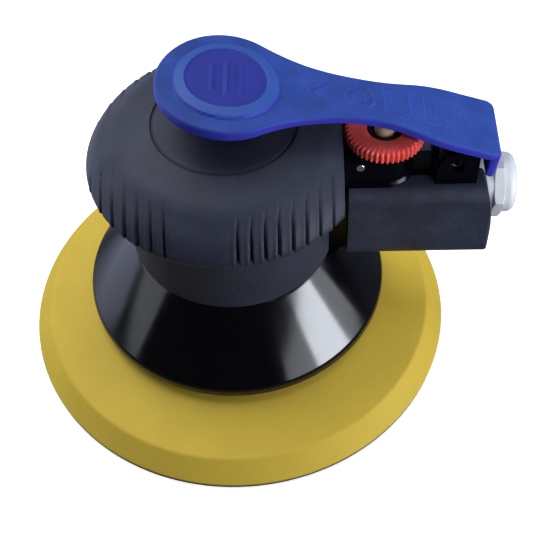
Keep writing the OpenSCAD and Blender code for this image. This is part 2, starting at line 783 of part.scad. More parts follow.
module pad_foam() {
    pad_r = pad_d / 2;
    color([0.8, 0.73, 0.33]) at_spindle() rotate_extrude() polygon(concat(
        [[0, 0.9], [pad_r - 0.6, 0.9], [pad_r, 1.8]],
        arc(pad_r - 7.8, 7.2, 2.4, 38, 80, 5),
        [[55, 12.7]],
        arc(40, 5, 10, 60, 90, 4),
        [[33.1, 15], [33.1, 12], [0, 12]]));
}

module pad_face() {
    color([0.35, 0.35, 0.36]) at_spindle() cylinder(r = pad_d / 2 - 0.3, h = 0.9);
}

motor_housing();
grip_boot();
neck_sleeve();
arm_cover();
shroud();
lock_ring();
motor_cylinder();
cylinder_dowel();
upper_end_plate();
lower_end_plate();
housing_o_ring();
upper_bearing_outer_race();
lower_bearing_outer_race();
inlet_bushing();
inlet_gasket();
inlet_screen();
valve_seat();
valve_spring();
muffler_felt();
exhaust_grille();
lever_pin();
regulator_stop_pin();
throttle_lever();
valve_stem();
stem_o_ring();
tip_valve();
tip_valve_seal();
regulator_wheel();
regulator_sleeve();
regulator_o_ring();
rotor();
rotor_vanes();
rotor_key();
shaft_balancer();
shaft_circlip();
upper_bearing_inner_race();
lower_bearing_inner_race();
spindle_bearing_outer_race();
bearing_retaining_ring();
upper_bearing_balls();
lower_bearing_balls();
spindle_bearing_balls();
spindle();
spindle_bearing_inner_race();
spindle_circlip();
pad_stud();
pad_backing_plate();
pad_foam();
pad_face();
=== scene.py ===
"""Looks for a palm-sized air-powered random orbital sander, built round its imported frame.

Lengths in this file are millimetres in the object's own frame unless a name says otherwise;
mesh() turns them into metres. Positions come from the frame's boxes and joints.
"""
import json
import math

import bmesh
import bpy
import numpy as np
from mathutils import Matrix, Vector


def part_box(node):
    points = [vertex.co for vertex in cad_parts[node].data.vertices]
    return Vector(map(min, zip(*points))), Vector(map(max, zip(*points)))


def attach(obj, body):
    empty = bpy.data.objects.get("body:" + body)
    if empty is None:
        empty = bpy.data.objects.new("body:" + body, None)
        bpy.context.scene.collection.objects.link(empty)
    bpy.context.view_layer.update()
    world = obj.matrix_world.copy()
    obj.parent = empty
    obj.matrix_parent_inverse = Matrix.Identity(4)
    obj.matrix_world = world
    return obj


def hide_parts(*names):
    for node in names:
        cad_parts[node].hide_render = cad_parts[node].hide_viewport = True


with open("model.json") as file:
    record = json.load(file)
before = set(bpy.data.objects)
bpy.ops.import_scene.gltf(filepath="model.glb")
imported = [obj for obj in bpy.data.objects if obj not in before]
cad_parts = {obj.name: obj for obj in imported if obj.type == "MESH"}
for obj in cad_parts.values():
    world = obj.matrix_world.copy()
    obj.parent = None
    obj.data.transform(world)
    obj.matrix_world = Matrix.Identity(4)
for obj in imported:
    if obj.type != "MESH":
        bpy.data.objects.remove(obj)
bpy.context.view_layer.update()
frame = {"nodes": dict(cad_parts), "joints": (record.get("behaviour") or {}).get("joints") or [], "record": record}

MM = 0.001
NODES = frame["nodes"]
JOINTS = {j["name"]: j for j in frame["joints"]}


def box_mm(node):
    """Lowest and highest corner of a node, in millimetres."""
    lo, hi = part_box(node)
    return lo / MM, hi / MM


# ---------------------------------------------------------------- mesh tools


def mesh(name, points_mm, faces, sharp_deg=180.0):
    """A smooth-shaded mesh object from millimetre points, with edges above sharp_deg kept sharp."""
    data = bpy.data.meshes.new(name)
    data.from_pydata((np.asarray(points_mm, float) * MM).tolist(), [], faces)
    data.validate()
    tidy = bmesh.new()
    tidy.from_mesh(data)
    bmesh.ops.remove_doubles(tidy, verts=tidy.verts, dist=1e-7)
    bmesh.ops.recalc_face_normals(tidy, faces=tidy.faces)
    tidy.to_mesh(data)
    tidy.free()
    return linked(name, data, sharp_deg)


def linked(name, data, sharp_deg):
    """An object for a finished mesh."""
    data.shade_smooth()
    if sharp_deg < 180:
        data.set_sharp_from_angle(angle=math.radians(sharp_deg))
    obj = bpy.data.objects.new(name, data)
    bpy.context.scene.collection.objects.link(obj)
    return obj


def grid_faces(rows, cols, close_rows=False, close_cols=False):
    """Quads over a rows x cols grid of points, stored row by row."""
    faces = []
    for i in range(rows if close_rows else rows - 1):
        for j in range(cols if close_cols else cols - 1):
            a, b = i * cols + j, i * cols + (j + 1) % cols
            c, d = ((i + 1) % rows) * cols + (j + 1) % cols, ((i + 1) % rows) * cols + j
            faces.append((a, b, c, d))
    return faces


def rounded_path(corners, closed=False, step_deg=9.0):
    """A path through (x, y, radius) corners, with an arc of that radius at each."""
    path = []
    count = len(corners)
    for i, (x, y, radius) in enumerate(corners):
        here = np.array([x, y], float)
        if radius <= 0 or (not closed and i in (0, count - 1)):
            path.append(here)
            continue
        before = np.array(corners[i - 1][:2], float)
        after = np.array(corners[(i + 1) % count][:2], float)
        u = (before - here) / np.linalg.norm(before - here)
        v = (after - here) / np.linalg.norm(after - here)
        half = math.acos(np.clip(u @ v, -1, 1)) / 2
        centre = here + (u + v) / np.linalg.norm(u + v) * radius / math.sin(half)
        start, end = here + u * radius / math.tan(half), here + v * radius / math.tan(half)
        a0 = math.atan2(*(start - centre)[::-1])
        turn = math.atan2(*(end - centre)[::-1]) - a0
        turn = (turn + math.pi) % (2 * math.pi) - math.pi
        steps = max(2, math.ceil(abs(math.degrees(turn)) / step_deg))
        for k in range(steps + 1):
            a = a0 + turn * k / steps
            path.append(centre + radius * np.array([math.cos(a), math.sin(a)]))
    return np.array(path)


def subdivided(path, longest):
    """The same open path with no step longer than longest."""
    out = [path[0]]
    for a, b in zip(path[:-1], path[1:]):
        steps = max(1, math.ceil(np.linalg.norm(b - a) / longest))
        out += [a + (b - a) * k / steps for k in range(1, steps + 1)]
    return np.array(out)


def spun(name, path, centre=(0, 0), angles=None, radius_change=None, sharp_deg=40.0):
    """A closed body of revolution about Z from an (r, z) path, either a loop or one ending on the axis.

    radius_change(angles, r, z) may return a change of radius for surface detail.
    """
    if angles is None:
        angles = np.linspace(0, 2 * math.pi, 192, endpoint=False)
    on_axis = path[0][0] < 1e-6
    points = []
    for r, z in path:
        rr = np.full(len(angles), r)
        if radius_change is not None and r > 1e-6:
            rr = rr + radius_change(angles, r, z)
        points += [(centre[0] + q * math.cos(a), centre[1] + q * math.sin(a), z) for q, a in zip(rr, angles)]
    faces = grid_faces(len(path), len(angles), close_rows=not on_axis, close_cols=True)
    return mesh(name, points, faces, sharp_deg)


def applied(obj):
    """The same object with its modifiers applied."""
    bpy.context.view_layer.update()
    data = bpy.data.meshes.new_from_object(obj.evaluated_get(bpy.context.evaluated_depsgraph_get()))
    obj.modifiers.clear()
    obj.data = data
    return obj


def cut(obj, *cutters):
    """obj minus each cutter, which are then removed."""
    for cutter in cutters:
        modifier = obj.modifiers.new("cut", "BOOLEAN")
        modifier.operation, modifier.solver, modifier.object = "DIFFERENCE", "EXACT", cutter
    applied(obj)
    for cutter in cutters:
        bpy.data.objects.remove(cutter)
    return obj


def bisected(obj, point_mm, normal):
    """obj with everything beyond the plane removed and the opening closed."""
    bm = bmesh.new()
    bm.from_mesh(obj.data)
    geometry = list(bm.verts) + list(bm.edges) + list(bm.faces)
    result = bmesh.ops.bisect_plane(
        bm, geom=geometry, plane_co=Vector(point_mm) * MM, plane_no=Vector(normal), clear_outer=True)
    rim = [e for e in result["geom_cut"] if isinstance(e, bmesh.types.BMEdge)]
    bmesh.ops.contextual_create(bm, geom=rim)
    bmesh.ops.recalc_face_normals(bm, faces=bm.faces)
    bm.to_mesh(obj.data)
    bm.free()
    return obj


def softened(node, bevel_mm):
    """A copy of a CAD node with clean faces and rounded edges, to stand for that node."""
    corner_angle = math.radians(30)
    bm = bmesh.new()
    bm.from_mesh(NODES[node].data)
    bmesh.ops.remove_doubles(bm, verts=bm.verts, dist=2e-6)
    bmesh.ops.dissolve_limit(bm, angle_limit=math.radians(0.5), verts=bm.verts, edges=bm.edges)
    corner = [e for e in bm.edges if e.is_manifold and e.calc_face_angle() > corner_angle]
    bmesh.ops.bevel(bm, geom=corner, offset=bevel_mm * MM, offset_type="OFFSET", segments=2,
                    profile=0.5, affect="EDGES", clamp_overlap=True)
    bmesh.ops.remove_doubles(bm, verts=bm.verts, dist=1e-7)
    data = bpy.data.meshes.new(node + "_soft")
    bm.to_mesh(data)
    bm.free()
    obj = linked(node + "_soft", data, 50)
    weighted = obj.modifiers.new("weighted", "WEIGHTED_NORMAL")
    weighted.weight = 80
    weighted.keep_sharp = True
    return obj


def outline_plate(name, outline, holes, low, high, bevel):
    """A plate with rounded edges from an (x, y) outline and round holes, from height low to high."""
    curve = bpy.data.curves.new(name, "CURVE")
    curve.dimensions, curve.fill_mode = "2D", "BOTH"
    ring = np.linspace(0, 2 * math.pi, 48, endpoint=False)
    loops = [outline] + [np.c_[x + r * np.cos(ring), y + r * np.sin(ring)] for x, y, r in holes]
    for loop in loops:
        spline = curve.splines.new("POLY")
        spline.points.add(len(loop) - 1)
        for point, (x, y) in zip(spline.points, loop):
            point.co = (x * MM, y * MM, 0, 1)
        spline.use_cyclic_u = True
    curve.extrude = ((high - low) / 2 - bevel) * MM
    curve.bevel_depth, curve.bevel_resolution = bevel * MM, 2
    curve.offset = -bevel * MM
    holder = bpy.data.objects.new(name, curve)
    bpy.context.scene.collection.objects.link(holder)
    bpy.context.view_layer.update()
    data = bpy.data.meshes.new_from_object(holder.evaluated_get(bpy.context.evaluated_depsgraph_get()))
    bpy.data.objects.remove(holder)
    data.transform(Matrix.Translation((0, 0, (low + high) / 2 * MM)))
    bm = bmesh.new()
    bm.from_mesh(data)
    bmesh.ops.remove_doubles(bm, verts=bm.verts, dist=1e-6)
    bmesh.ops.recalc_face_normals(bm, faces=bm.faces)
    bm.to_mesh(data)
    bm.free()
    return linked(name, data, 35)


def smoothstep(x, low, high):
    """0 below low, 1 above high, and a smooth S between."""
    t = np.clip((x - low) / (high - low), 0, 1)
    return t * t * (3 - 2 * t)


# ---------------------------------------------------------------- materials


def add(tree, kind, inputs=None, **settings):
    """A shader node with its settings and inputs; an input may be a value or another node's socket."""
    node = tree.nodes.new(kind)
    for key, value in settings.items():
        setattr(node, key, value)
    for key, value in (inputs or {}).items():
        if isinstance(value, bpy.types.NodeSocket):
            tree.links.new(value, node.inputs[key])
        else:
            node.inputs[key].default_value = value
    return node


def blank(name):
    """A new material: its tree, its shader and the object's coordinates in millimetres."""
    material = bpy.data.materials.new(name)
    material.use_nodes = True
    tree = material.node_tree
    tree.nodes.clear()
    shader = add(tree, "ShaderNodeBsdfPrincipled")
    add(tree, "ShaderNodeOutputMaterial", {"Surface": shader.outputs["BSDF"]})
    coordinates = add(tree, "ShaderNodeTexCoord")
    in_mm = add(tree, "ShaderNodeVectorMath", {0: coordinates.outputs["Object"], "Scale": 1 / MM},
                operation="SCALE")
    return material, tree, shader, in_mm.outputs[0]


def noise(tree, where, size_mm, detail=3.0, roughness=0.5, stretch=(1, 1, 1)):
    """Noise whose blobs are about size_mm across."""
    placed = add(tree, "ShaderNodeMapping", {"Vector": where, "Scale": stretch})
    made = add(tree, "ShaderNodeTexNoise", {
        "Vector": placed.outputs[0], "Scale": 1 / size_mm, "Detail": detail, "Roughness": roughness})
    return made.outputs["Fac"]


def spread(tree, value, low, high, centre=0.5, reach=0.25):
    """value, which varies about centre by reach, turned into low to high."""
    return add(tree, "ShaderNodeMapRange", {
        "Value": value, "From Min": centre - reach, "From Max": centre + reach, "To Min": low, "To Max": high}
    ).outputs[0]


def falling(tree, value, start, end):
    """1 up to start, falling to 0 at end."""
    return add(tree, "ShaderNodeMapRange", {
        "Value": value, "From Min": start, "From Max": end, "To Min": 1.0, "To Max": 0.0}).outputs[0]


def tint(tree, factor, dark, light):
    """A colour between dark and light."""
    mixed = add(tree, "ShaderNodeMix", data_type="RGBA")
    tree.links.new(factor, mixed.inputs[0])
    mixed.inputs[6].default_value = (*dark, 1)
    mixed.inputs[7].default_value = (*light, 1)
    return mixed.outputs[2]


def bumped(tree, shader, layers):
    """Gives the shader a stack of bumps, each (height socket, depth in millimetres, strength)."""
    normal = None
    for height, depth, strength in layers:
        bump = add(tree, "ShaderNodeBump", {"Height": height, "Distance": depth * MM, "Strength": strength})
        if normal is not None:
            tree.links.new(normal, bump.inputs["Normal"])
        normal = bump.outputs[0]
    tree.links.new(normal, shader.inputs["Normal"])


def shade(colour, factor):
    """The colour made darker or lighter."""
    return tuple(min(1.0, c * factor) for c in colour)


def grained(name, colour, roughness, grain_mm=0.35, depth=0.05, mottle=0.12, specular=0.5, sheen=0.0):
    """Moulded plastic or rubber with a fine eroded grain and faint mottling."""
    material, tree, shader, where = blank(name)
    broad = noise(tree, where, 9, detail=4)
    fine = noise(tree, where, grain_mm, detail=2, roughness=0.6)
    blend = add(tree, "ShaderNodeMath", {0: broad, 1: fine}, operation="ADD")
    half = add(tree, "ShaderNodeMath", {0: blend.outputs[0], 1: 0.5}, operation="MULTIPLY").outputs[0]
    factor = spread(tree, half, 0, 1, reach=0.13)
    tree.links.new(tint(tree, factor, shade(colour, 1 - mottle), shade(colour, 1 + mottle)),
                   shader.inputs["Base Color"])
    tree.links.new(spread(tree, fine, roughness - 0.06, roughness + 0.08), shader.inputs["Roughness"])
    shader.inputs["Specular IOR Level"].default_value = specular
    if sheen:
        shader.inputs["Sheen Weight"].default_value = sheen
        shader.inputs["Sheen Roughness"].default_value = 0.5
    bumped(tree, shader, [(fine, depth, 1.0), (noise(tree, where, grain_mm * 3), depth * 1.5, 0.5)])
    return material


def lever_skin(name, colour, ring_sheen_colour, dish_shade_colour, vertical_shading_colour):
    """The lever's grained plastic, with a smoother ring round its badge's dish; the ring is painted paler as a
    painted sheen, the dish darker as painted shade, and its vertical faces a deeper blue as painted shading.
    """
    material = grained(name, colour, 0.45, grain_mm=0.5, depth=0.09, mottle=0.22, specular=0.15)
    tree = material.node_tree
    shader = next(n for n in tree.nodes if n.type == "BSDF_PRINCIPLED")
    where = add(tree, "ShaderNodeTexCoord").outputs["Object"]
    across = add(tree, "ShaderNodeVectorMath", {0: where, 1: (1, 1, 0)}, operation="MULTIPLY").outputs[0]
    away = add(tree, "ShaderNodeVectorMath", {0: across, 1: (BADGE_X * MM, 0, 0)},
               operation="DISTANCE").outputs["Value"]
    middle, half = (BADGE_R + CREST_R) / 2, (BADGE_R - CREST_R) / 2
    from_band = add(tree, "ShaderNodeMath", {0: away, 1: middle * MM}, operation="SUBTRACT").outputs[0]
    gap = add(tree, "ShaderNodeMath", {0: from_band}, operation="ABSOLUTE").outputs[0]
    band = falling(tree, gap, (half - 0.15) * MM, (half + 0.15) * MM)
    # Painted sheen: the sloping ring is painted a paler blue, standing in for light off its smoother slope.
    plain = shader.inputs["Base Color"].links[0].from_socket
    paler = add(tree, "ShaderNodeMix", data_type="RGBA")
    tree.links.new(band, paler.inputs[0])
    tree.links.new(plain, paler.inputs[6])
    paler.inputs[7].default_value = (*ring_sheen_colour, 1)
    rough = shader.inputs["Roughness"].links[0].from_socket
    smoother = add(tree, "ShaderNodeMix", {0: band, 2: rough, 3: 0.38})
    tree.links.new(smoother.outputs[0], shader.inputs["Roughness"])
    # Painted shade: the dish inside the crest is painted a darker blue, as if in shadow.
    inside = add(tree, "ShaderNodeMapRange", {
        "Value": away, "From Min": (CREST_R - 0.4) * MM, "From Max": (CREST_R - 0.1) * MM, "To Min": 0.85,
        "To Max": 0.0}).outputs[0]
    darker = add(tree, "ShaderNodeMix", data_type="RGBA")
    tree.links.new(inside, darker.inputs[0])
    tree.links.new(paler.outputs[2], darker.inputs[6])
    darker.inputs[7].default_value = (*dish_shade_colour, 1)
    # Painted shading: faces that stand upright are painted a deeper blue than the top, chosen by which way each
    # face points, standing in for how light falls on them.
    normal = add(tree, "ShaderNodeNewGeometry").outputs["True Normal"]
    facing = add(tree, "ShaderNodeSeparateXYZ", {0: normal})
    vertical_shading_mask = falling(tree, facing.outputs["Z"], 0.35, 0.65)
    vertical_shading_mix = add(tree, "ShaderNodeMix", data_type="RGBA")
    tree.links.new(vertical_shading_mask, vertical_shading_mix.inputs[0])
    tree.links.new(darker.outputs[2], vertical_shading_mix.inputs[6])
    vertical_shading_mix.inputs[7].default_value = (*vertical_shading_colour, 1)
    tree.links.new(vertical_shading_mix.outputs[2], shader.inputs["Base Color"])
    # Light travels a little way through the thin plastic.
    shader.inputs["Subsurface Weight"].default_value = 0.35
    shader.inputs["Subsurface Radius"].default_value = (0.5, 0.8, 2.0)
    shader.inputs["Subsurface Scale"].default_value = 1.2 * MM
    return material


def glossy(name, colour, roughness=0.12, smear=0.07, specular=0.5):
    """Polished moulded plastic: clear reflections with faint moulding waves and handling smears."""
    material, tree, shader, where = blank(name)
    broad = noise(tree, where, 14, detail=5, roughness=0.65)
    tree.links.new(tint(tree, spread(tree, broad, 0, 1), shade(colour, 0.8), shade(colour, 1.25)),
                   shader.inputs["Base Color"])
    tree.links.new(spread(tree, broad, roughness, roughness + smear), shader.inputs["Roughness"])
    shader.inputs["Specular IOR Level"].default_value = specular
    waves, texture = noise(tree, where, 6, detail=2), noise(tree, where, 0.5)
    bumped(tree, shader, [(waves, 0.03, 0.25), (texture, 0.006, 0.3)])
    return material


def metal(name, colour, roughness=0.28, brushed_along=None, metallic=1.0):
    """Machined metal, with fine tool lines across the given axis and slight tarnish."""
    material, tree, shader, where = blank(name)
    stretch = {None: (1, 1, 1), "x": (12, 0.6, 0.6), "z": (0.6, 0.6, 12)}[brushed_along]
    lines = noise(tree, where, 0.6, detail=4, stretch=stretch)
    stain = noise(tree, where, 7, detail=5)
    tree.links.new(tint(tree, spread(tree, stain, 0, 1), shade(colour, 0.86), colour),
                   shader.inputs["Base Color"])
    tree.links.new(spread(tree, lines, roughness - 0.07, roughness + 0.12), shader.inputs["Roughness"])
    shader.inputs["Metallic"].default_value = metallic
    bumped(tree, shader, [(lines, 0.01, 0.35)])
    return material


def foam(name, colour):
    """Moulded closed-skin foam: fine pores, faint mottling, soft sheen."""
    material, tree, shader, where = blank(name)
    broad = noise(tree, where, 16, detail=5, roughness=0.6)
    cells = add(tree, "ShaderNodeTexVoronoi", {"Vector": where, "Scale": 1.9}, feature="SMOOTH_F1")
    pores = cells.outputs["Distance"]
    fine = noise(tree, where, 0.5, detail=3, roughness=0.6)
    both = add(tree, "ShaderNodeMath", {0: broad, 1: fine, 2: 0}, operation="MULTIPLY_ADD").outputs[0]
    factor = spread(tree, both, 0, 1, centre=0.26, reach=0.16)
    tree.links.new(tint(tree, factor, shade(colour, 0.93), shade(colour, 1.05)), shader.inputs["Base Color"])
    tree.links.new(spread(tree, fine, 0.62, 0.78), shader.inputs["Roughness"])
    shader.inputs["Specular IOR Level"].default_value = 0.3
    bumped(tree, shader, [(pores, 0.05, 0.25), (fine, 0.04, 0.4)])
    return material


def hook_cloth(name, colour):
    """Woven backing set with rows of tiny hooks."""
    material, tree, shader, where = blank(name)
    hooks = add(tree, "ShaderNodeTexVoronoi", {"Vector": where, "Scale": 1.1}).outputs["Distance"]
    weave = add(tree, "ShaderNodeTexWave", {"Vector": where, "Scale": 1.6, "Distortion": 0.6}).outputs["Fac"]
    factor = spread(tree, hooks, 0, 1, centre=0.35, reach=0.3)
    tree.links.new(tint(tree, factor, shade(colour, 1.5), shade(colour, 0.6)), shader.inputs["Base Color"])
    shader.inputs["Roughness"].default_value = 0.85
    bumped(tree, shader, [(hooks, 0.3, 0.8), (weave, 0.1, 0.4)])
    return material


# The lever's head in plan, and the raised badge on it with a sloping ring that is painted paler as a painted
# sheen.
HEAD_X, HEAD_R = 1.0, 21.0
BADGE_X, BADGE_R, CREST_R = 1.5, 15.9, 12.5
# How much the floor glows to the camera, and how pale it is to everything it lights.
FLOOR_LIFT = 0.6
FLOOR_BOUNCE = 0.1
FLOOR_BOUNCE_LEFT = 1.0

MATERIALS = {
    "housing_black": glossy("housing_black", (0.001, 0.001, 0.003), 0.16, specular=0.12),
    "shroud_black": glossy("shroud_black", (0.0006, 0.0005, 0.002), 0.1),
    "grip_rubber": grained(
        "grip_rubber", (0.028, 0.031, 0.052), 0.55, grain_mm=0.6, depth=0.08, mottle=0.2, specular=0.3),
    "arm_plastic": grained(
        "arm_plastic", (0.029, 0.034, 0.058), 0.55, grain_mm=0.6, depth=0.12, mottle=0.35, specular=0.3),
    "anodised_aluminium": metal("anodised_aluminium", (0.12, 0.12, 0.13), 0.35, "z"),
    "motor_steel": metal("motor_steel", (0.5, 0.5, 0.52), 0.3, "z"),
    "bright_steel": metal("bright_steel", (0.8, 0.81, 0.84), 0.16),
    "spring_steel": metal("spring_steel", (0.12, 0.12, 0.14), 0.35),
    "plate_iron": metal("plate_iron", (0.3, 0.3, 0.31), 0.45),
    "inlet_metal": metal("inlet_metal", (0.8, 0.82, 0.85), 0.6, "x", metallic=0.25),
    "valve_brass": metal("valve_brass", (0.75, 0.52, 0.2), 0.28),
    "seal_rubber": grained("seal_rubber", (0.012, 0.012, 0.012), 0.45, grain_mm=0.3, depth=0.02),
    "felt": grained("felt", (0.42, 0.4, 0.34), 0.9, grain_mm=0.6, depth=0.3, mottle=0.3, sheen=0.3),
    # The lever's ring colour is a painted sheen, its dish colour painted shade and its vertical-face colour
    # painted shading.
    "lever_blue": lever_skin(
        "lever_blue", colour=(0.03, 0.069, 0.315), ring_sheen_colour=(0.041, 0.099, 0.37),
        dish_shade_colour=(0.027, 0.034, 0.28), vertical_shading_colour=(0.046, 0.05, 0.48)),
    "stem_cream": grained("stem_cream", (0.6, 0.42, 0.3), 0.4, grain_mm=0.6, depth=0.02),
    "regulator_red": grained("regulator_red", (1.0, 0.115, 0.105), 0.4, grain_mm=0.5, depth=0.03),
    "sleeve_black": grained(
        "sleeve_black", (0.004, 0.004, 0.005), 0.4, grain_mm=0.4, depth=0.02, specular=0.25),
    "vane_composite": grained("vane_composite", (0.2, 0.09, 0.04), 0.6, grain_mm=0.4, depth=0.05),
    "plate_fibre": grained("plate_fibre", (0.16, 0.12, 0.07), 0.6, grain_mm=0.8, depth=0.1),
    "pad_foam": foam("pad_foam", (0.68, 0.47, 0.05)),
    "hook_face": hook_cloth("hook_face", (0.06, 0.06, 0.065)),
}
SLOT_OF = {part["node"]: part["material_slot"] for part in frame["record"]["subparts"]}


def dressed(obj, body, slot, *replaced):
    """Gives a new piece its body, its record slot and that slot's material."""
    obj.data.materials.clear()
    obj.data.materials.append(MATERIALS[slot])
    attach(obj, body)
    if replaced:
        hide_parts(*replaced)
    return obj


def paint_frame():
    """Every CAD node takes the procedural material of its own slot."""
    for node, obj in NODES.items():
        obj.data.materials.clear()
        obj.data.materials.append(MATERIALS[SLOT_OF[node]])


# ---------------------------------------------------------------- pad and shroud


def build_pad():
    """Bevelled foam with a slightly wavy skin, seated round the backing plate."""
    lo, hi = box_mm("pad_foam")
    radius = (hi.x - lo.x) / 2
    centre = ((lo.x + hi.x) / 2, (lo.y + hi.y) / 2)
    top = hi.z
    plate_r = (box_mm("pad_backing_plate")[1].x - box_mm("pad_backing_plate")[0].x) / 2
    corners = [
        (0, lo.z, 0), (radius - 0.3, lo.z, 0.3), (radius, lo.z + 0.9, 0.7), (radius - 6.0, 8.9, 2.2),
        (50, top - 1.6, 14), (40, top, 6), (plate_r + 0.1, top, 0.4), (plate_r + 0.1, 12, 0.2), (0, 12, 0)]
    path = subdivided(rounded_path(corners), 1.6)

    def swell(angles, r, z):
        """Moulded foam is never quite true: a few hundredths of a millimetre of slow waviness."""
        free = 1.0 if r > plate_r + 3 and z > lo.z + 2 else 0.0
        return -free * (0.05 + 0.03 * np.sin(5 * angles + 0.4 * z) + 0.02 * np.sin(11 * angles + 1.3))

    pad = spun("foam_pad", path, centre, np.linspace(0, 2 * math.pi, 288, endpoint=False), swell, 30)
    dressed(pad, "spindle", "pad_foam", "pad_foam")


def build_shroud():
    """Thin bell with a rolled rim."""
    lo, hi = box_mm("shroud")
    rim = (hi.x - lo.x) / 2
    neck = 34.5
    corners = [
        (28.2, hi.z - 2.8, 0.2), (neck - 2.6, hi.z - 2.8, 1.5), (rim - 5.2, lo.z + 4.3, 2.0),
        (rim - 2.1, lo.z + 1.6, 1.2), (rim - 2.0, lo.z, 0.4), (rim, lo.z, 0.5),
        (rim, lo.z + 3.0, 3.6), (neck + 0.2, hi.z - 0.6, 0.4), (neck - 0.3, hi.z, 0.3), (28.2, hi.z, 0.2)]
    path = rounded_path(corners, closed=True, step_deg=5)
    shroud = spun("shroud_bell", path, angles=np.linspace(0, 2 * math.pi, 360, endpoint=False), sharp_deg=45)
    dressed(shroud, "housing", "shroud_black", "shroud")


# ---------------------------------------------------------------- grip


# Where the flutes' planes cross the X axis: a close group beside the arm, and one round the palm side.
FLUTES = [4.4 + 4.1 * i for i in range(8)] + [-17.6 - 4.1 * i for i in range(7)]
FLUTE_DEPTH = 1.9
FLUTE_HALF = 0.62


def build_boot():
    """Mushroom grip with fluted edge, cut flat and hollowed for the housing."""
    lo, hi = box_mm("grip_boot")
    rim = (hi.y - lo.y) / 2
    rim_z = 79.7
    flat_x = hi.x
    low, top = lo.z, hi.z
    corners = [
        (0, low, 0), (34.4, low, 0.6), (rim - 1.5, rim_z - 2.2, 1.4), (rim + 0.1, rim_z + 0.3, 3.2),
        (42.3, rim_z + 6.2, 14), (34.0, rim_z + 12.4, 16), (24.0, 95.15, 1.5), (23.2, 95.32, 0.3),
        (22.7, 94.7, 0.2), (22.1, 95.25, 0.4), (13, top - 0.4, 12), (0, top, 0)]
    path = subdivided(rounded_path(corners, step_deg=6), 0.6)
    angles = np.radians(np.arange(0, 360, 0.3))
    flutes = np.array(FLUTES)

    def groove(angles, r, z):
        """Narrow flutes parallel to the YZ plane, with a soft lip on the palm side of each."""
        if r < 30 or z < low + 0.6:
            return np.zeros_like(angles)
        off = r * np.cos(angles)[:, None] - flutes[None, :]
        lean = np.abs(np.sin(angles))
        near = np.argmin(np.abs(off), axis=1)
        off = off[np.arange(len(angles)), near] / np.maximum(lean, 0.3)
        fade = smoothstep(z, rim_z - 4.8, rim_z - 2.6) * (1 - smoothstep(z, rim_z + 4.5, rim_z + 12.5))
        fade = fade * smoothstep(lean, 0.18, 0.4)
        slit = FLUTE_DEPTH * (1 - smoothstep(np.abs(off), 0.15, FLUTE_HALF))
        lip = 0.22 * np.exp(-((off + 1.35) / 0.55) ** 2)
        return fade * (np.minimum(lip, 0.6 * (rim - 0.02 - r)) - slit)

    boot = spun("grip_boot_skin", path, angles=angles, radius_change=groove, sharp_deg=60)
    bisected(boot, (flat_x, 0, 0), (1, 0, 0))
    # The moulded housing fills the boot, and its arm and valve boss leave through the flat side.
    inner = [(0, 60, 0), (31.1, 60, 0), (31.1, 74.4, 0), (40.7, 77.5, 0), (42.0, rim_z, 2), (38.7, 84.3, 3),
             (33.7, 88.3, 3), (28, 91, 3), (21, 92.5, 3), (0, 93.5, 0)]
    around = np.linspace(0, 2 * math.pi, 96, endpoint=False)
    cavity = spun("cavity", rounded_path(inner, step_deg=15), angles=around)
    bisected(cavity, (flat_x - 1.9, 0, 0), (1, 0, 0))
    arm = boxed("arm_way", (20, -10.9, 60), (60, 10.9, 72.7))
    boss = boxed("boss_way", (20, -10.2, 60), (60, 10.2, box_mm("motor_housing")[1].z - 7.3))
    cut(boot, cavity, arm, boss)
    boot.data.shade_smooth()
    boot.data.set_sharp_from_angle(angle=math.radians(50))
    dressed(boot, "housing", "grip_rubber", "grip_boot")


def boxed(name, low, high):
    """A plain box, used only to cut with."""
    x0, y0, z0 = low
    x1, y1, z1 = high
    points = [(x, y, z) for x in (x0, x1) for y in (y0, y1) for z in (z0, z1)]
    faces = [(0, 1, 3, 2), (4, 6, 7, 5), (0, 4, 5, 1), (2, 3, 7, 6), (0, 2, 6, 4), (1, 5, 7, 3)]
    return mesh(name, points, faces)


# ---------------------------------------------------------------- lever


NECK_X, NECK_HW = 44.8, 8.6
FLARE_R, REAR_HW = 53.7, 12.0
HEAD_T, NECK_T = 3.8, 3.05
EDGE_R = 1.0
LIP_CORNER = 3.5
# Ridge line of the lever's top from the tip to the start of the rear bend, as (x, z).
RIDGE = [(-20, 113.12), (-10, 112.58), (0, 111.56), (10, 109.97), (20, 107.87), (26, 106.57), (32, 105.47),
         (38, 104.37), (44, 103.07), (50, 101.57), (56, 99.87), (62, 97.77), (68, 95.47), (74, 93.17),
         (79, 91.33)]


def smooth_curve(knots, x):
    """Cubic Hermite curve through the knots, and its slope."""
    knots = np.array(knots, float)
    kx, kz = knots[:, 0], knots[:, 1]
    slope = np.gradient(kz, kx)
    i = np.clip(np.searchsorted(kx, x) - 1, 0, len(kx) - 2)
    h = kx[i + 1] - kx[i]
    t = (x - kx[i]) / h
    z = ((2 * t**3 - 3 * t**2 + 1) * kz[i] + (t**3 - 2 * t**2 + t) * h * slope[i]
         + (-2 * t**3 + 3 * t**2) * kz[i + 1] + (t**3 - t**2) * h * slope[i + 1])
    dz = ((6 * t**2 - 6 * t) * (kz[i] - kz[i + 1]) / h + (3 * t**2 - 4 * t + 1) * slope[i]
          + (3 * t**2 - 2 * t) * slope[i + 1])
    return z, dz


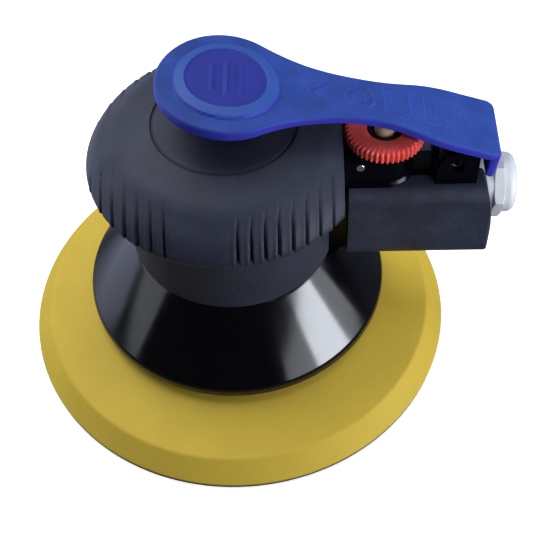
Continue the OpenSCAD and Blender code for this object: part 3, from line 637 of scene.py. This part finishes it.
def lever_half_width(x):
    """Half width of the lever's plan: round head, concave fillet, then an S-curve out to the rear."""
    span = NECK_X - HEAD_X
    fillet = (span**2 + NECK_HW**2 - HEAD_R**2) / (2 * (HEAD_R - NECK_HW))
    touch = HEAD_X + HEAD_R * span / math.hypot(span, NECK_HW + fillet)
    head = np.sqrt(np.maximum(HEAD_R**2 - (x - HEAD_X)**2, 0))
    waist = NECK_HW + fillet - np.sqrt(np.maximum(fillet**2 - (NECK_X - x)**2, 0))
    rise = REAR_HW - NECK_HW
    run = math.sqrt(4 * FLARE_R * rise - rise**2)
    middle, rear = NECK_X + run / 2, NECK_X + run
    flare = NECK_HW + FLARE_R - np.sqrt(np.maximum(FLARE_R**2 - (x - NECK_X)**2, 0))
    settle = REAR_HW - FLARE_R + np.sqrt(np.maximum(FLARE_R**2 - (np.minimum(x, rear) - rear)**2, 0))
    return np.where(x < touch, head, np.where(x < NECK_X, waist, np.where(x < middle, flare, settle)))


def segment_distance(x, y, a, b):
    """Distance to the straight line from a to b."""
    ax, ay = a
    bx, by = b
    t = np.clip(((x - ax) * (bx - ax) + (y - ay) * (by - ay)) / ((bx - ax)**2 + (by - ay)**2), 0, 1)
    return np.hypot(x - ax - t * (bx - ax), y - ay - t * (by - ay))


def frame_distance(x, y, cx, cy, hx, hy, corner):
    """Distance to the outline of a rounded rectangle."""
    qx, qy = np.abs(x - cx) - hx + corner, np.abs(y - cy) - hy + corner
    return np.abs(np.hypot(np.maximum(qx, 0), np.maximum(qy, 0)) + np.minimum(np.maximum(qx, qy), 0) - corner)


def ridge(distance, half_width, height):
    """A raised line with soft shoulders."""
    return height * (1 - smoothstep(distance, half_width * 0.35, half_width))


def lever_relief(x, y):
    """Height of the moulded detail above the lever's plain top: ring, dish, finger bars and plain shapes."""
    r = np.hypot(x - BADGE_X, y)
    relief = 0.8 * (1 - smoothstep(r, BADGE_R - 0.35, BADGE_R))
    relief = relief + np.clip((BADGE_R - r) / (BADGE_R - CREST_R), 0, 1)
    relief = relief - 0.45 * (1 - smoothstep(r, CREST_R - 0.6, CREST_R - 0.1))
    for offset, reach in ((-4.2, 5.0), (0, 6.6), (4.2, 5.0)):
        bar = segment_distance(x, y, (BADGE_X + offset, -reach), (BADGE_X + offset, reach))
        relief = relief + ridge(bar, 0.8, 0.5)
    for tip in (25.5, 28.5):
        wings = np.minimum(segment_distance(x, y, (tip, 0), (tip + 4.4, 4.0)),
                           segment_distance(x, y, (tip, 0), (tip + 4.4, -4.0)))
        relief = relief + ridge(wings, 0.5, 0.4)
    relief = relief + ridge(np.abs(np.hypot(x - 41.5, y) - 4.3), 0.48, 0.4)
    relief = relief + ridge(np.abs(np.hypot(x - 41.5, y) - 2.2), 0.44, 0.35)
    relief = relief + ridge(frame_distance(x, y, 53, 0, 4.0, 4.4, 1.4), 0.48, 0.4)
    relief = relief + ridge(frame_distance(x, y, 64.5, 0, 3.4, 5.4, 0.5), 0.48, 0.4)
    relief = relief + ridge(segment_distance(x, y, (64.5, -4.8), (64.5, 4.8)), 0.4, 0.3)
    arc = np.abs(np.hypot(x - 68, y + 1) - 7.0)
    inside = smoothstep(x, 71.6, 72.6) * smoothstep(y, -5.4, -4.4) * (1 - smoothstep(y, 3.6, 4.6))
    return relief + ridge(arc, 0.5, 0.4) * inside


def build_lever():
    """The lever's bent shell with its raised detail, the nib over the push stem and the tongue."""
    # Stations along the top: closer together towards the round tip, then even, then round the bend.
    phi = np.radians(np.arange(0, 90.01, 1.1))
    flat_x = np.concatenate([HEAD_X - HEAD_R * np.cos(phi), np.arange(HEAD_X + 0.36, 79.0, 0.36)])
    z, dz = smooth_curve(RIDGE, flat_x)
    normal = np.c_[-dz, np.ones_like(dz)] / np.hypot(1, dz)[:, None]
    top = np.c_[flat_x, z]
    thickness = HEAD_T + (NECK_T - HEAD_T) * smoothstep(flat_x, 5, 25)
    under = top - thickness[:, None] * normal
    slope = dz[-1]
    crease = (85.15, top[-1][1] + slope * (85.15 - top[-1][0]), 1.9)
    bend = [tuple(top[-1]) + (0,), crease, (83.3, 79.9, 1.0), (82.3, 79.25, 0)]
    inner_bend = [tuple(under[-1]) + (0,), (81.7, under[-1][1] + slope * (81.7 - under[-1][0]), 1.2),
                  (80.6, 80.4, 0.8), (82.3, 79.25, 0)]
    outer = evenly(rounded_path(bend, step_deg=4), 48)
    inner = evenly(rounded_path(inner_bend, step_deg=4), 48)
    top, under = np.vstack([top, outer[1:]]), np.vstack([under, inner[1:]])
    along = np.concatenate([[0], np.cumsum(np.linalg.norm(np.diff(top, axis=0), axis=1))])
    # In plan the rear corners are rounded about the crease, so the lip is narrower at its furthest point.
    beyond = np.maximum(top[:, 0] - (crease[0] + 0.3 - LIP_CORNER), 0)
    rounding = LIP_CORNER - np.sqrt(np.maximum(LIP_CORNER**2 - np.minimum(beyond, LIP_CORNER)**2, 0))
    width = lever_half_width(top[:, 0]) - rounding
    from_end = along[-1] - along
    corner = 2.0
    width = width - np.where(
        from_end < corner, corner - np.sqrt(np.maximum(corner**2 - (corner - from_end)**2, 0)), 0)
    width = np.maximum(width, 0.0)
    edge = np.array([0, 0.004, 0.012, 0.022, 0.034, 0.048])
    across = np.concatenate([-1 + edge, np.linspace(-0.935, 0.935, 99), (1 - edge)[::-1]])
    y = width[:, None] * across[None, :]
    s = np.repeat(along[:, None], len(across), axis=1)
    outline = np.concatenate([np.c_[along, width], np.c_[along, -width][::-1]])
    depth = outline_distance(s, y, outline)
    # Thickness runs from 0 on the plain top to 1 on the plain underside.
    local_t = np.linalg.norm(top - under, axis=1)[:, None]
    top_r = np.minimum(EDGE_R, 0.45 * local_t)
    low_r = np.minimum(0.7, 0.4 * local_t)
    round_over = np.where(depth < top_r, top_r - np.sqrt(np.maximum(top_r**2 - (top_r - depth)**2, 0)), 0)
    round_under = np.where(depth < low_r, low_r - np.sqrt(np.maximum(low_r**2 - (low_r - depth)**2, 0)), 0)
    x_flat = np.concatenate([flat_x, np.full(len(outer) - 1, 999.0)])[:, None] + 0 * y
    relief = lever_relief(x_flat, y) * smoothstep(depth, 0.2, 1.5)
    thick = np.maximum(local_t, 1e-3)
    share_top = (round_over - relief) / thick
    share_low = 1 - round_under / thick
    upper, lower = [], []
    for i in range(len(along)):
        for j in range(len(across)):
            for share, out in ((share_top[i, j], upper), (share_low[i, j], lower)):
                px, pz = top[i] + (under[i] - top[i]) * share
                out.append((px, y[i, j], pz))
    rows, cols = len(along), len(across)
    count = rows * cols
    faces = grid_faces(rows, cols)
    faces += [tuple(count + k for k in reversed(f)) for f in grid_faces(rows, cols)]
    rim = ([(i, 0) for i in range(rows)] + [(rows - 1, j) for j in range(1, cols)]
           + [(i, cols - 1) for i in range(rows - 2, -1, -1)])
    for (i0, j0), (i1, j1) in zip(rim[:-1], rim[1:]):
        a, b = i0 * cols + j0, i1 * cols + j1
        faces.append((b, a, count + a, count + b))
    lever = mesh("lever_shell", upper + lower, faces, 40)
    dressed(lever, "lever", "lever_blue", "throttle_lever")
    # The round boss underneath that presses on the push stem.
    stem = box_mm("valve_stem")
    stem_x = (stem[0].x + stem[1].x) / 2
    boss = spun("lever_nib", rounded_path([(0, 96.22, 0), (2.4, 96.22, 0.4), (2.4, 99.6, 0.2), (0, 99.6, 0)]),
                (stem_x, 0), np.linspace(0, 2 * math.pi, 48, endpoint=False), None, 30)
    dressed(boss, "lever", "lever_blue", "throttle_lever")
    # The tongue that the pin goes through, between the housing's lugs.
    pivot = Vector(JOINTS["lever_press"]["pos_m"]) / MM
    arc = np.radians(np.linspace(180, 360, 25))
    shape = [(pivot.x + 4.6 * math.cos(a), pivot.z + 4.6 * math.sin(a)) for a in arc]
    shape += [(76.6, 90.6), (67.4, 93.8)]
    tongue = outline_plate("lever_tongue", np.array(shape), [(pivot.x, pivot.z, 2.05)], -4.2, 4.2, 0.35)
    tongue.data.transform(Matrix.Rotation(math.radians(90), 4, "X"))
    dressed(tongue, "lever", "lever_blue", "throttle_lever")


def evenly(path, count):
    """The path resampled to count points at even steps."""
    along = np.concatenate([[0], np.cumsum(np.linalg.norm(np.diff(path, axis=0), axis=1))])
    at = np.linspace(0, along[-1], count)
    return np.c_[np.interp(at, along, path[:, 0]), np.interp(at, along, path[:, 1])]


def outline_distance(x, y, outline):
    """Distance of each point from the closed outline."""
    points = np.c_[x.ravel(), y.ravel()]
    best = np.full(len(points), 1e9)
    for a, b in zip(outline, np.roll(outline, -1, axis=0)):
        step = b - a
        length = step @ step
        if length < 1e-12:
            continue
        t = np.clip(((points - a) @ step) / length, 0, 1)
        best = np.minimum(best, np.linalg.norm(points - a - t[:, None] * step, axis=1))
    return best.reshape(x.shape)


# ---------------------------------------------------------------- arm, wheel and inlet


def build_wheel():
    """Toothed regulator wheel."""
    lo, hi = box_mm("regulator_wheel")
    centre = ((lo.x + hi.x) / 2, (lo.y + hi.y) / 2)
    outer, teeth, groove = (hi.y - lo.y) / 2, 46, 1.0
    corners = [
        (5.75, lo.z, 0.2), (outer - 0.4, lo.z, 0.3), (outer, lo.z + 0.4, 0.3), (outer, hi.z - 0.7, 0.3),
        (outer - 0.7, hi.z - 0.02, 0.35), (7.0, hi.z - 0.02, 0.3), (5.75, hi.z - 0.3, 0.2)]
    path = rounded_path(corners, closed=True, step_deg=15)

    def toothed(angles, r, z):
        """Notches between the teeth, cut back from the rim."""
        phase = (angles * teeth / (2 * math.pi)) % 1.0
        notch = np.abs(np.cos(math.pi * phase)) ** 2.8
        reach = smoothstep(np.array(r), outer - 1.9, outer - 0.5)
        return -groove * notch * reach

    angles = np.linspace(0, 2 * math.pi, teeth * 14, endpoint=False)
    wheel = spun("regulator_knob", path, centre, angles, toothed, 50)
    dressed(wheel, "regulator", "regulator_red", "regulator_wheel")


def build_inlet():
    """Hexagonal inlet with a rounded collar and a real spiral thread in its bore."""
    lo, hi = box_mm("inlet_bushing")
    height = 64.3
    hex_r, hex_turn = 11.6, math.radians(10)
    flat = hex_r * math.cos(math.radians(30))
    bore, collar, shank = 5.72, 9.85, 6.6
    start, end = lo.x, hi.x
    hex_start, hex_end = 85.4, 88.6
    pitch, thread = 1.337, 0.55
    angles = np.linspace(0, 2 * math.pi, 360, endpoint=False)
    hexagon = flat / np.cos((angles + hex_turn) % math.radians(60) - math.radians(30))
    rows = []
    for r, x in rounded_path([(4.5, start, 0), (shank, start, 0.4), (shank, 79.9, 0), (collar, 79.9, 0.2),
                              (collar, hex_start, 0)]):
        rows.append((np.full_like(angles, r), x))
    for x in np.linspace(hex_start, hex_end, 17):
        chamfer = hex_r - 0.9 + 1.5 * min(1.0, (x - hex_start) / 0.6, (hex_end - x) / 0.6)
        rows.append((np.minimum(hexagon, chamfer), x))
    for r, x in rounded_path([(collar + 0.05, hex_end, 0), (collar, hex_end + 0.1, 0.1), (collar, end, 2.8),
                              (bore + 0.9, end, 0.3), (bore, end - 0.9, 0)], step_deg=8):
        rows.append((np.full_like(angles, r), x))
    for x in np.arange(end - 1.05, 80, -pitch / 8):
        turn = ((x / pitch + angles / (2 * math.pi)) % 1.0)
        run_in = smoothstep(np.array(end - x), 0.9, 1.6)
        rows.append((bore + thread * np.abs(2 * turn - 1) ** 1.2 * run_in, x))
    rows.append((np.full_like(angles, 4.5), 80))
    points = [(x, r * math.cos(a), height + r * math.sin(a))
              for radii, x in rows for r, a in zip(radii, angles)]
    inlet = mesh("inlet_fitting", points, grid_faces(len(rows), len(angles), True, True), 32)
    dressed(inlet, "housing", "inlet_metal", "inlet_bushing")


def build_softened():
    """CAD pieces whose shape is right, with their edges rounded as moulding and machining leave them."""
    bevels = {
        "motor_housing": 0.35, "arm_cover": 0.5, "neck_sleeve": 0.4, "regulator_sleeve": 0.2,
        "regulator_stop_pin": 0.3, "lever_pin": 0.25, "exhaust_grille": 0.15}
    for node, bevel in bevels.items():
        body = next(b for b, members in frame["record"]["behaviour"]["bodies"].items() if node in members)
        dressed(softened(node, bevel), body, SLOT_OF[node], node)


# ---------------------------------------------------------------- stage


def for_camera_only(tree, seen, otherwise):
    """A shader that is seen by the camera and one that lights and is reflected by everything else."""
    by_camera = add(tree, "ShaderNodeLightPath").outputs["Is Camera Ray"]
    return add(tree, "ShaderNodeMixShader", {0: by_camera, 1: otherwise, 2: seen}).outputs[0]


def build_floor():
    """Plain white paper."""
    size = 3.0
    data = bpy.data.meshes.new("floor")
    corners = [(-size, -size, 0), (size, -size, 0), (size, size, 0), (-size, size, 0)]
    data.from_pydata(corners, [], [(0, 1, 2, 3)])
    floor = bpy.data.objects.new("floor", data)
    bpy.context.scene.collection.objects.link(floor)
    material, tree, shader, where = blank("floor_paper")
    speckle = spread(tree, noise(tree, where, 60), 0, 1)
    tree.links.new(tint(tree, speckle, (0.9, 0.9, 0.9), (0.93, 0.93, 0.93)), shader.inputs["Base Color"])
    shader.inputs["Roughness"].default_value = 0.9
    shader.inputs["Specular IOR Level"].default_value = 0.1
    # The camera sees the paper lifted to white; light and reflections meet the plain shader below instead.
    shader.inputs["Emission Color"].default_value = (1, 1, 1, 1)
    shader.inputs["Emission Strength"].default_value = FLOOR_LIFT
    # Paler on the left behind the tool, where the shroud reflects it.
    place = add(tree, "ShaderNodeSeparateXYZ", {0: where})
    left = falling(tree, place.outputs["X"], -150.0, -80.0)
    behind = spread(tree, place.outputs["Y"], 0.0, 1.0, centre=-20.0, reach=40.0)
    pale = add(tree, "ShaderNodeMath", {0: left, 1: behind}, operation="MULTIPLY").outputs[0]
    level = spread(tree, pale, FLOOR_BOUNCE, FLOOR_BOUNCE_LEFT, reach=0.5)
    cool = add(tree, "ShaderNodeVectorMath", {0: level, 1: (1.0, 1.03, 1.25)}, operation="MULTIPLY")
    dim = add(tree, "ShaderNodeBsdfDiffuse", {"Color": cool.outputs[0]})
    output = next(n for n in tree.nodes if n.type == "OUTPUT_MATERIAL")
    tree.links.new(for_camera_only(tree, shader.outputs[0], dim.outputs[0]), output.inputs["Surface"])
    data.materials.append(material)


def aimed(name, light, target, azimuth, elevation, distance):
    """Places a light to face the target. Azimuth 0 is +X and 90 is +Y; lengths in metres."""
    obj = bpy.data.objects.new(name, light)
    a, e = math.radians(azimuth), math.radians(elevation)
    out = Vector((math.cos(a) * math.cos(e), math.sin(a) * math.cos(e), math.sin(e)))
    obj.location = Vector(target) + out * distance
    obj.rotation_mode = "QUATERNION"
    obj.rotation_quaternion = (-out).to_track_quat("-Z", "Y")
    bpy.context.scene.collection.objects.link(obj)


def softbox(name, azimuth, elevation, distance, width, height, radiance):
    """A cool area light aimed at the middle of the tool; sizes in metres."""
    light = bpy.data.lights.new(name, "AREA")
    light.shape, light.size, light.size_y = "RECTANGLE", width, height
    light.energy = radiance * width * height * math.pi
    light.color = (0.87, 0.92, 1.0)
    aimed(name, light, (0.0, 0.0, 0.04), azimuth, elevation, distance)


def arm_accent():
    """A small spot from the front on the controls and the lever's rear."""
    light = bpy.data.lights.new("arm_accent", "SPOT")
    light.energy, light.color = 3.6, (1.0, 0.96, 0.94)
    light.spot_size, light.spot_blend, light.shadow_soft_size = math.radians(14), 1.0, 0.04
    aimed("arm_accent", light, (0.072, -0.012, 0.086), -58, 36, 0.6)


def build_lights():
    """Soft boxes round the tool, one small spot and a dim world."""
    softbox("overhead", 102, 75, 1.3, 1.1, 0.9, 2.6)
    softbox("left_key", 143, 48, 1.3, 1.1, 0.8, 4.0)
    softbox("right_fill", 6, 34, 1.3, 0.9, 0.7, 1.35)
    softbox("right_strip", -28, 8, 0.62, 0.26, 0.16, 14.0)
    softbox("right_glow", -30, 8, 0.60, 0.68, 0.16, 3.4)
    softbox("left_card", 172, 12, 0.9, 1.1, 0.34, 1.5)
    arm_accent()
    world = bpy.data.worlds.new("studio")
    bpy.context.scene.world = world
    world.use_nodes = True
    tree = world.node_tree
    tree.nodes.clear()
    glow = add(tree, "ShaderNodeBackground", {"Color": (0.9, 0.92, 1.0, 1), "Strength": 0.05})
    seen = add(tree, "ShaderNodeBackground", {"Color": (1, 1, 1, 1), "Strength": 1.0})
    add(tree, "ShaderNodeOutputWorld", {"Surface": for_camera_only(tree, seen.outputs[0], glow.outputs[0])})


def build_camera():
    """Looks down on the tool from the front, close enough for a strong perspective, rolled slightly."""
    aim = Vector((11.0, 0.0, 19.6)) * MM
    distance, azimuth, elevation, roll = 0.400, 2.485, 52.8, 2.91
    a, e, r = (math.radians(x) for x in (azimuth, elevation, roll))
    back = Vector((math.sin(a) * math.cos(e), -math.cos(a) * math.cos(e), math.sin(e)))
    level = Vector((math.cos(a), math.sin(a), 0))
    up = back.cross(level)
    right = level * math.cos(r) - up * math.sin(r)
    up = back.cross(right)
    camera = bpy.data.cameras.new("camera")
    camera.lens, camera.sensor_width = 74.2, 36.0
    camera.clip_start, camera.clip_end = 0.01, 20
    obj = bpy.data.objects.new("camera", camera)
    turned = Matrix((right, up, back)).transposed().to_4x4()
    obj.matrix_world = Matrix.Translation(aim + back * distance) @ turned
    bpy.context.scene.collection.objects.link(obj)
    bpy.context.scene.camera = obj


build_camera()
paint_frame()
build_pad()
build_shroud()
build_boot()
build_lever()
build_wheel()
build_inlet()
build_softened()
build_floor()
build_lights()
bpy.context.scene.view_settings.view_transform = "Standard"
